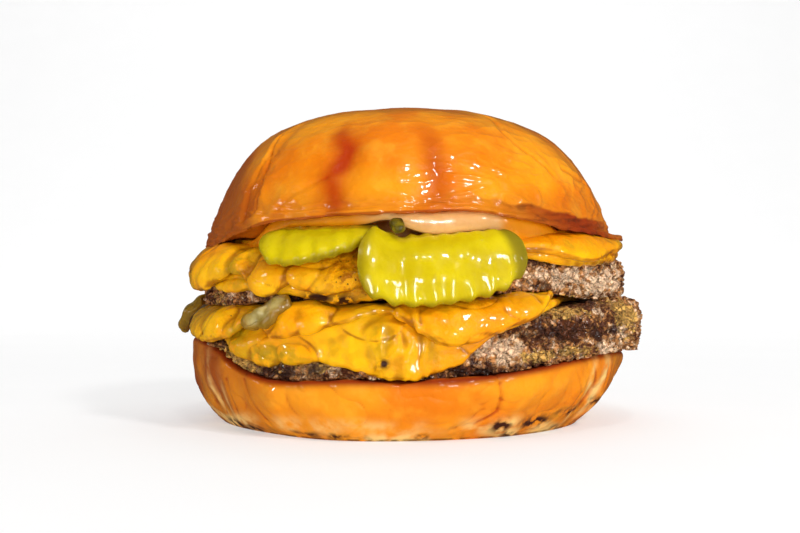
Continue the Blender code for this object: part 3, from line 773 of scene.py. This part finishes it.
def limp_outline(along):
    """A wavy edge, fuller in the middle."""
    return 0.12 + 0.12 * np.sin(along / 0.9 + 2) + 0.06 * np.sin(along / 0.4)


ONION_FRONT = Patch(LOWER_PATTY, -125.5, 7.7, 5.8, 3, -40, ONTO, ONION_THICK)
ONION_SIDE = Patch(LOWER_PATTY, 178, 8.2, 5, 5, 20, ONTO, ONION_THICK)
LIMP = (limp_rise, limp_outline, 120, 40)
patch("front_onion", "onion_front", ONION_FRONT, onion, 2.1, *LIMP, 1.1)
patch("side_onion", "onion_side", ONION_SIDE, onion, 2.4, *LIMP, 1.2)

# Upper patty. Smashed like the lower one, a little smaller, and laid on the lower cheese. Its bare
# pale crumb shows at the right and its charred edge at the front left.

UPPER_RADIUS = {180: 49.5, -150: 50.2, -120: 48.5, -90: 47, -60: 48.2, -30: 51, 0: 51.9, 30: 51.2, 90: 50,
    135: 50}
UPPER_MIDDLE = 38.2
UPPER_RIM = {180: 38, -150: 37.2, -135: 36.4, -110: 36.6, -90: 37, -60: 38.8, -45: 39.4, 0: 39.2, 90: 39}
# How far its edge sinks where no cheese lies under it.
UPPER_SAG = {180: 0, -60: 0, -52: 0.3, -46: 1.6, -38: 3, -25: 3.4, 0: 3.4, 12: 2, 25: 0.4, 40: 0,
    110: 0}


def above_lower_cheese(r, angle):
    """Over the two lower slices, which turn down round the patty's rim as an arc."""
    bend = PATTY_SHOULDER + PAIR
    out = np.clip(r - LOWER_PATTY.flat(angle), 0, bend / 2)
    return LOWER_PATTY.top(r, angle) + PAIR - bend + np.sqrt(bend**2 - out**2) + CLEARANCE


UPPER_PATTY = Disc(UPPER_RADIUS, UPPER_MIDDLE, UPPER_RIM, PATTY_SHOULDER)
upper_patty = patty(
    "upper_patty", "patty_upper", UPPER_PATTY, above_lower_cheese, UPPER_SAG, {0: 0}, 2.4, 23,
    char=((-45, 38.5, 16, 1.4, 0.9), (-28, 30, 6, 1.2, 0.6), (-116, 30, 10, 4, 1), (-53, 33, 3, 2, 0.7),
        (-148, 33, 4, 2, 0.6)),
    soak=((-150, 30, 6, 3, 0.8), (-50, 30, 6, 1, 0.7)),
    ash=((-48, 34.5, 9, 2.8, 1), (-34, 33.5, 9, 3, 1), (-24, 34, 5, 3, 0.8), (-146, 31.8, 7, 2.6, 0.9)))

# Cheese of the upper patty. Two more melted slices. They hang in thick round lobes at the front left,
# and where they ran onto the griddle they are crusted, blistered and flecked with brown.

UPPER_FIRST = {180: 5, -160: 8, -142: 9.2, -130: 9, -117: 10.5, -108: 12, -98: 10.6, -80: 6, -60: 3, -45: 6,
    -28: 5.2, -10: 2.4, 15: 0.6, 50: 5, 66: 8.5, 80: 6, 120: 3, 150: 5}
UPPER_SECOND = {156: 3, 170: 6.4, -178: 8.6, -168: 10.2, -158: 12.8, -151: 12.8, -146: 11, -141: 8.6, -136: 8,
    -130: 11.2, -125: 12.4, -119: 10.4, -113: 12.6, -104: 12, -97: 8, -70: 4.5, -55: 5.6, -42: 8.8, -30: 6.8,
    -12: 3.8, 5: 3, 20: 1.6, 80: 1, 100: 7, 112: 11.5, 124: 8, 140: 3}


def upper_first_relief(points):
    """Blisters where the slice is crusted, and a full edge under the crown at the right."""
    blisters = spot(points, -106, 34, 8, 5) * lumps(points, 3, 61)
    return 0.5 * blisters + 0.8 * spot(points, -45, 40, 14, 3)


def upper_second_relief(points):
    """Round lobes at the front left, blisters beside them, and full edges that meet the crown at the left
    and the right."""
    lobes = np.max([lobe(points, -126.5, 35, 4.6, 5.6), 0.8 * lobe(points, -116, 35.8, 3.6, 4.8),
                    0.9 * lobe(points, -149, 37.2, 7.4, 5.6), 0.6 * lobe(points, -135.5, 38.5, 3.6, 4.6)],
                   axis=0)
    crusted = spot(points, -104.5, 35, 6, 4.8)
    met = 1.2 * spot(points, -45, 43.6, 15, 2) + 1 * spot(points, -158, 42, 11, 1.6)
    return 1.5 * lobes + 0.9 * crusted * lumps(points, 3.2, 62) + met


upper_masks = {
    "olive": ((-137, 36.5, 5, 6, 0.9), (-45, 42, 6, 1.6, 0.6), (-100, 30, 3, 3, 0.7),
        (-115, 33, 2.4, 2.4, 0.6)),
    # Some warm marks, on the upper parts of the lobes, are painted shade.
    "warm": ((-45, 43.6, 20, 2.6, 0.9), (-127, 38.5, 8, 3, 0.7), (-152, 42, 10, 3, 0.6),
        (-106, 37, 5, 3, 0.6)),
    "browned": ((-104, 35, 6, 5, 1), (-162, 35, 3, 4, 1), (-98, 32, 3, 3, 0.9), (-30, 38.5, 8, 1.4, 1),
        (-132, 37.5, 4, 1.4, 0.4), (105, 34, 8, 4, 0.9)),
    "burnt": ((-113, 30.3, 4, 1.3, 1.3), (-106, 29.6, 2.6, 1.6, 1.3), (-30, 37.2, 7, 0.8, 1),
        (100, 31, 6, 1.2, 1)),
}
cheese("upper_cheese_first", "cheese_upper_first", UPPER_PATTY, FIRST_SLICE, UPPER_FIRST,
               upper_first_relief, upper_masks)
cheese("upper_cheese_second", "cheese_upper_second", UPPER_PATTY, SECOND_SLICE, UPPER_SECOND,
               upper_second_relief, upper_masks)

# Pickles. Slices of cucumber cut with a crinkle blade, limp, wet and bright yellow-green, with darker
# peel round their edges. Two hang over the rim at the front, and the tip of a third shows above.

PICKLE_THICK = 2.6
RIPPLE, RIPPLE_LENGTH = 0.35, 3.9
PICKLE_LEAN = 1.8
PICKLE_CLIMB = 2 * RIPPLE + PICKLE_THICK + CLEARANCE
CLIMB_FROM, CLIMB_LENGTH = -8.5, 8


def crinkle(along, across):
    """The crinkle cut: a sine along the slice, the same on both faces, softened towards the middle."""
    rim = np.clip(np.abs(across) / 9.6, 0, 1) ** 3
    return RIPPLE * (0.15 + 0.85 * rim) * np.sin(TURN * along / RIPPLE_LENGTH)


def climbing(along, across):
    """The crinkle cut, with one end lifted onto the slice beside it."""
    return crinkle(along, across) + PICKLE_CLIMB * ease((CLIMB_FROM - along) / CLIMB_LENGTH)


def scallops(along):
    """The crinkles' scallops in the outline, fainter in the middle of the slice."""
    depth = 0.022 + 0.05 * np.clip(along / 15, -1, 1) ** 2
    return depth * np.sin(TURN * along / RIPPLE_LENGTH + 1) - depth


pickle = Finish("pickle", {"Subsurface Weight": 0.35, "Subsurface Scale": 0.003, "Coat Roughness": 0.06,
                           "Subsurface Radius": (0.9, 1, 0.15), "IOR": 1.4, "Specular IOR Level": 0.2})
brined = pickle.painted(
    (212, 190, 10),
    (pickle.grain(8, 2).rising(0.35, 0.7), 196, 172, 6),
    (pickle.grain(2.2, 3).rising(0.55, 0.75) * 0.3, 180, 156, 6),
    # The lower border is darker: partly the thick edge's own flesh, partly painted shade where the slice
    # bends down.
    (pickle.mask("border") * 0.5, 172, 148, 4),
    (pickle.mask("rim").rising(0.5, 0.95) * 0.9, 134, 112, 6),
    (pickle.mask("end").rising(0.72, 0.88) * 0.85, 122, 106, 8),
    (pickle.specks(7, 0.28, 0.2), 70, 70, 20))
pickle.feed(Base_Color=brined, Normal=pickle.bumps((pickle.grain(3, 2), 0.2)),
            Roughness=0.2 + 0.16 * pickle.grain(4, 2) + 0.4 * pickle.mask("end").rising(0.5, 0.8),
            Coat_Weight=(0.4 + 0.4 * pickle.grain(6, 2)) * (1 - 0.9 * pickle.mask("end").rising(0.5, 0.8)))
peel = Finish("pickle peel", {"Subsurface Weight": 0.3, "Subsurface Scale": 0.002, "Coat Roughness": 0.08,
                              "Subsurface Radius": (0.9, 1, 0.15), "IOR": 1.4})
peel_green = peel.painted((128, 112, 18), (peel.grain(1.4, 3).rising(0.35, 0.65), 72, 62, 12))
peel.feed(Base_Color=peel_green, Normal=peel.bumps((peel.grain(1, 2), 0.2)),
          Roughness=0.2 + 0.2 * peel.grain(2, 2), Coat_Weight=0.4 + 0.4 * peel.grain(3, 2))
PICKLE_LEFT = Patch(UPPER_PATTY, -113.5, 3.6, 14.6, 9.6, -14, ONTO + RIPPLE + PICKLE_LEAN, PICKLE_THICK)
PICKLE_RIGHT = Patch(UPPER_PATTY, -82, 10.4, 17.8, 10, -3, ONTO + RIPPLE, PICKLE_THICK)
PICKLE_TIP = Patch(UPPER_PATTY, -93, 7, 1.7, 2.2, -30, ONTO + PICKLE_CLIMB + 1.2, 2)
patch("left_pickle", "pickle_left", PICKLE_LEFT, pickle, rise=crinkle, notch=scallops)
right_pickle = patch("right_pickle", "pickle_right", PICKLE_RIGHT, pickle, 2.8, climbing, scallops, ledge=0.5)
patch("pickle_end", "pickle_tip", PICKLE_TIP, peel, columns=60, rows=30, rough=0.6)

# Sauce. A thick pinkish mayonnaise spread under the crown. The pickles lift it at the front, where
# its smooth glossy edge shows over them.

SAUCE_REACH = {180: 43.5, -135: 45.5, -110: 46.6, -80: 47, -60: 47, -30: 46.5, 0: 45.5, 90: 44}
SAUCE_MIDDLE = 1.4
SAUCE_RIM = {180: 1.4, -130: 1.8, -100: 2.4, -85: 3, -68: 3, -50: 1.6, 0: 1.4, 90: 1.4}
LIFT = {-160: 0, -143: 0, -131: 5.2, -120: 5.8, -98: 5.8, -90: 4.4, -66: 3.9, -57: 3.6, -44: 0,
    -20: 0, 90: 0}
LIFT_FROM, LIFT_WIDTH = 28, 8
# How far the edge of the sauce sags onto the cheese beside the pickles.
SAUCE_SAG = {180: 0, -144: 0, -137: 2.2, -132: 2.2, -126: 1.4, -102: 1.4, -67: 2.2, -61: 4.2, -50: 3.6,
    -42: 2, -34: 0, 90: 0, -95: 0, -90: 1, -84: 1.8, -72: 1.8}


def above_pickles(r, angle):
    """Over the upper slices and, at the front, over the pickles on them."""
    lift = ease((r - LIFT_FROM) / LIFT_WIDTH) * np.maximum(around(LIFT)(angle), 0)
    return UPPER_PATTY.top(r, angle) + PAIR + CLEARANCE + lift


def sauce_top(r, angle):
    """The top of the sauce, whose thickness grows straight from the middle to the rim."""
    return above_pickles(r, angle) + SAUCE_MIDDLE + (around(SAUCE_RIM)(angle) - SAUCE_MIDDLE) * r / RIM_REACH


def sauce_loops(angle):
    """Rings out along the underside, round the edge as half an ellipse and back over the top."""
    reach = around(SAUCE_REACH)(angle) + 0.4 * lumps(polar(RIM_REACH, angle, 0), 6, 71)
    r = np.concatenate([np.linspace(0.4, 0.97, 16), np.linspace(0.975, 1, 8)])[:, None] * reach
    sag = np.maximum(around(SAUCE_SAG)(angle), 0) * ease((r - 38) / 4)
    low, high = above_pickles(r, angle) - sag, sauce_top(r, angle)
    middle, half = (low + high) / 2, (high - low) / 2
    bulge = half * np.sqrt(np.clip(1 - np.clip((r - reach + 1.2) / 1.2, 0, 1) ** 2, 0, 1))
    return np.concatenate([polar(r, angle, middle - bulge), polar(r, angle, middle + bulge)[-2::-1]])


angle = stations(520)
loops = sauce_loops(angle)
loops = swell(loops, 0.12 * lumps(loops, 4, 72))
spread = Finish("sauce", {"Subsurface Weight": 0.3, "Subsurface Scale": 0.003, "Coat Roughness": 0.08,
                          "Subsurface Radius": (1, 0.7, 0.4), "IOR": 1.45})
mayonnaise = spread.painted((252, 192, 120), (spread.mask("orange"), 240, 150, 14))
spread.feed(Base_Color=mayonnaise, Normal=spread.bumps((spread.grain(3, 2), 0.2)),
            Roughness=0.2 + 0.14 * spread.grain(5, 2), Coat_Weight=0.4 + 0.3 * spread.grain(6, 2))
orange = np.maximum(ease(0.5 - side_offset(loops, -100) / 12), ease(side_offset(loops, -67) / 3))
skin("spread_sauce", "sauce", loops, [(0, 0, above_pickles(0, 0)), (0, 0, sauce_top(0, 0))], spread,
             {"orange": orange})

# Crown of the bun. Glazed like the heel and baked darker on top. Its cut edge is a toasted, red-brown
# lip that draws out thin at the right, and its skin is dented, creased and finely wrinkled where it
# was handled warm.

CROWN_RADIUS = {180: 49.6, -150: 49.4, -90: 50.2, -45: 49.8, -20: 50.5, -5: 52, 14: 50.5, 90: 50}
CROWN_EDGE = {180: 41.2, -165: 41.4, -150: 42.5, -139: 44.7, -130: 46.3, -118: 47, -105: 47.7, -90: 48.2,
    -75: 48.4, -60: 46.8, -45: 45, -30: 44, 45: 44, 90: 45, 140: 43}
CROWN_TOP = 75.1
LIP = 1.8
LIP_OUT = {180: 0.4, -110: 0.4, -70: 1, -20: 2.2, -3: 3.6, 14: 2.2, 60: 0.6}
SIDE_PULL = {180: 7.8, -90: 4, 0: 6, 90: 4.4}
SIDE_HEIGHT = 65.5
TOP_PULL = {180: 36, -90: 33.5, 0: 32.2, 90: 33.5}
# Dents as (degrees, height, half width, half height, depth).
DENTS = (
    (-107, 59, 4.2, 8.5, 1.3),
    (-84, 58, 3.6, 8, 1.3),
    (-139, 56, 3, 12, 1.2),
    (60, 60, 6, 8, 1),
)
CROWN_CREASES = (
    (((-145, 66.7), (-141, 62.6), (-136, 55), (-135, 49.1)), 0.7),
    (((-141.8, 62.7), (-142.5, 54.3), (-140, 47.6)), 0.6),
    (((-112.5, 56), (-121.9, 52.5), (-126.3, 49.5)), 0.3),
    (((-47.4, 72.1), (-55.2, 67.7), (-54.2, 64.8), (-49.4, 61.7), (-44, 57.5)), 0.5),
    (((-37, 59), (-28.2, 57.2), (-22, 56.6)), 0.6),
    (((-19.3, 55.5), (-24, 50), (-30, 47)), 0.5),
    (((30, 60), (36, 55), (33, 50)), 0.5),
    (((95, 62), (101, 58), (98, 52)), 0.5),
    (((150, 63), (156, 56), (152, 50)), 0.5),
)


def crown_loops(angle):
    """Rings out along the underside, moulded on the filling, up the toasted lip, and up a dome whose
    profile is a cubic curve from the lip to the top."""
    rim, edge, out = around(CROWN_RADIUS)(angle), around(CROWN_EDGE)(angle), around(LIP_OUT)(angle)
    reach, pull, top_pull = around(SAUCE_REACH)(angle), around(SIDE_PULL)(angle), around(TOP_PULL)(angle)
    r = LIFT_FROM + (reach - LIFT_FROM) * np.linspace(0, 1, 12)[:, None]
    last = sauce_top(reach, angle) + CLEARANCE
    share = np.linspace(0, 1, 8)[1:, None]
    up = np.linspace(0, 1, 14)[1:, None]
    t = np.linspace(0, 0.985, 150)[:, None] ** 1.15
    lip = rim - out
    dome_r = lip * (1 - t) ** 3 + (lip - pull) * 3 * t * (1 - t) ** 2 + top_pull * 3 * t**2 * (1 - t)
    dome_z = (edge + LIP) * (1 - t) ** 3 + SIDE_HEIGHT * 3 * t * (1 - t) ** 2 + CROWN_TOP * t**2 * (3 - 2 * t)
    return np.concatenate([
        polar(r, angle, sauce_top(r, angle) + CLEARANCE),
        polar(reach + (rim - reach) * share, angle, last + (edge - last) * share),
        polar(rim - out * ease((up - 0.4) / 0.6), angle, edge + LIP * up),
        polar(dome_r, angle, dome_z)[1:],
    ])


angle = stations(540)
loops = crown_loops(angle)
rows = np.arange(len(loops))[:, None]
# Its rows turn up into the lip at the first of these, and into the dome at the second.
LIP_ROW, DOME_ROW = 12, 31
dome = ease((rows - DOME_ROW) / 6)
on_lip = ease((rows - LIP_ROW) / 6)
lip_band = on_lip * ease((DOME_ROW + 10 - rows + 2.5 * lumps(loops, 4, 88)) / 3)
torn = ease(1 - np.abs(side_offset(loops, -38)) / 52)
lip_line = on_lip * ease((2 * LIP_ROW - rows) / 3)
dented = sum(depth * spot(loops, d, z, w, h) for d, z, w, h, depth in DENTS)
loops = loops - polar(dome * dented, angle, 0)
ridged = (1 - np.abs(lumps(loops * [0.7, 0.7, 1.7], 5.8, 81))) ** 4
fine = (1 - np.abs(lumps(loops * [0.7, 0.7, 1.8], 2.6, 82))) ** 3
handled = np.clip(spot(loops, -62, 54, 17, 9) + 0.7 * spot(loops, -30, 52, 12, 8)
                  + 0.5 * spot(loops, -137, 54, 7, 9) + 0.4 * ease((54 - loops[..., 2]) / 6)
                  + 0.2, 0, 1)
creases = pinched(loops, CROWN_CREASES, 0.7)
relief = dome * (0.6 * handled * (ridged - 0.3) + 0.22 * handled * (fine - 0.4) + creases
                 + 0.3 * lumps(loops, 11, 83))
relief = relief + lip_band * 0.6 * lumps(loops * [0.5, 0.5, 2], 2, 84)
loops = swell(loops, relief)
loops[..., 2] = np.minimum(loops[..., 2], CROWN_TOP)
# Painted shade down the two dent valleys.
valley = 0.8 * stroke(loops, ((-113, 66), (-108.5, 62), (-109.5, 59), (-112, 56),
                              (-109, 50.5)), 3.1)
valley = valley + 0.4 * stroke(loops, ((-84, 64), (-83, 58), (-82.5, 53.5)), 3.6)
x, y = loops[..., 0], loops[..., 1]
brown_edge = -26.5 + np.where(x < 0, 0.009, 0.024) * x**2 + 4 * lumps(loops, 16, 87)
browned = ease((y - brown_edge) / (10 + 0.5 * np.maximum(x, 0))) * ease((loops[..., 2] - 46) / 16)
# Painted shade: the crown's left side is darkened, as if less light reaches it.
browned = np.maximum(browned * 0.62, 0.8 * ease((-30 - x + 2 * lumps(loops, 10, 89)) / 10))
browned = np.maximum(browned, np.maximum(lip_band * torn, 0.8 * lip_line))
# Darker towards the lip, below about 55 mm.
browned = np.maximum(browned, 0.3 * ease((55 - loops[..., 2]) / 5 + 0.4 * lumps(loops, 12, 86)))
crown_masks = {
    "pale": 0 * x,
    "scorch": 0.6 * lip_band * torn * ease(0.2 + 1.5 * lumps(loops * [0.5, 0.5, 2], 2.6, 85)),
    "toast": browned,
    # Painted shade in the dents, their valleys and the creases.
    "dent": np.clip(dented / 4 + valley + 0.6 * ease(np.clip(-creases, 0, 1) / 0.6), 0, 1),
}
poles = [(0, 0, sauce_top(0, 0) + CLEARANCE), (0, 0, CROWN_TOP)]
skin("crown", "bun_top", loops, poles, crust, crown_masks)

# Studio. A white floor that sweeps up behind, six small lamps that give the wet glints, a wide one for
# the backdrop, two soft lights that give none, and the camera level with the pickles at the front.
# Lengths are metres here.

SWEEP_RADIUS = 1.2
EYE = Vector((-0.0022, -0.329, 0.037))


def sweep_grid():
    """A floor profile, flat and then a quarter circle up, drawn out from side to side."""
    turn = np.linspace(0, math.pi / 2, 24)
    y = np.concatenate([[-30.0, 0.5], 1.5 + SWEEP_RADIUS * np.sin(turn), [1.5 + SWEEP_RADIUS]])
    z = np.concatenate([[0.0, 0.0], SWEEP_RADIUS * (1 - np.cos(turn)), [4.0]])
    x = np.array([-30.0, 30.0])
    return np.stack([np.broadcast_to(x, (len(y), 2)), np.stack([y, y], 1), np.stack([z, z], 1)], -1)


grid = sweep_grid()
count = len(grid)
step = np.arange(count - 1) * 2
sweep_mesh = bpy.data.meshes.new("sweep")
sweep_mesh.from_pydata(grid.reshape(-1, 3), [], np.stack([step, step + 1, step + 3, step + 2], 1).tolist())
sweep_mesh.shade_smooth()
paper = Finish("white paper", {"Roughness": 0.9, "Emission Color": (1, 1, 1, 1), "Emission Strength": 0.44})
paper.feed(Base_Color=paper.mix(paper.grain(50, 2), (0.50, 0.50, 0.50, 1), (0.52, 0.52, 0.52, 1)))
sweep_mesh.materials.append(paper.material)
sweep = added("sweep", sweep_mesh)
sweep.visible_glossy = False


def lamp(name, place, size, power, target=(0, 0, 0.04)):
    """A square soft lamp that faces the middle of the burger or another target. It makes glints where
    it is less than 1 m wide."""
    light = added(name, bpy.data.lights.new(name, "AREA"))
    light.data.size = size
    light.data.energy = power
    light.location = place
    light.visible_glossy = size < 1
    light.rotation_euler = (Vector(target) - Vector(place)).to_track_quat("-Z", "Y").to_euler()


lamp("right lamp", (0.36, -0.46, 0.50), 0.09, 2.0)
lamp("left lamp", (-0.62, -0.16, 0.30), 0.10, 0.3)
lamp("front lamp", (0.16, -0.80, 0.09), 0.15, 2.2)
lamp("high lamp", (0.05, -0.38, 0.66), 0.06, 0.6)
lamp("low left lamp", (-0.64, -0.40, 0.10), 0.07, 0.7)
lamp("low right lamp", (0.53, -0.53, 0.12), 0.07, 0.5)
lamp("backdrop lamp", (0.0, 1.0, 1.7), 2.2, 30, (0.0, 2.7, 0.4))
SUNS = ("ceiling light", (-0.15, 0.12, -0.98), 1.1), ("fill light", (0.05, 0.97, -0.15), 0.35)
for name, way, energy in SUNS:
    glow = added(name, bpy.data.lights.new(name, "SUN"))
    glow.data.energy = energy
    glow.data.angle = math.radians(80)
    glow.visible_glossy = False
    glow.rotation_euler = Vector(way).to_track_quat("-Z", "Y").to_euler()
world = bpy.data.worlds.new("white room")
world.use_nodes = True
background = world.node_tree.nodes["Background"].inputs
background["Color"].default_value = (1, 1, 1, 1)
background["Strength"].default_value = 0.03
bpy.context.scene.world = world
bpy.context.scene.view_settings.view_transform = "Standard"

camera = added("camera", bpy.data.cameras.new("camera"))
camera.data.lens = 60
camera.data.sensor_width = 36
camera.data.clip_start = 0.01
camera.location = EYE + Vector(CENTRING * MM)
camera.rotation_euler = (math.pi / 2, 0, 0)
bpy.context.scene.camera = camera
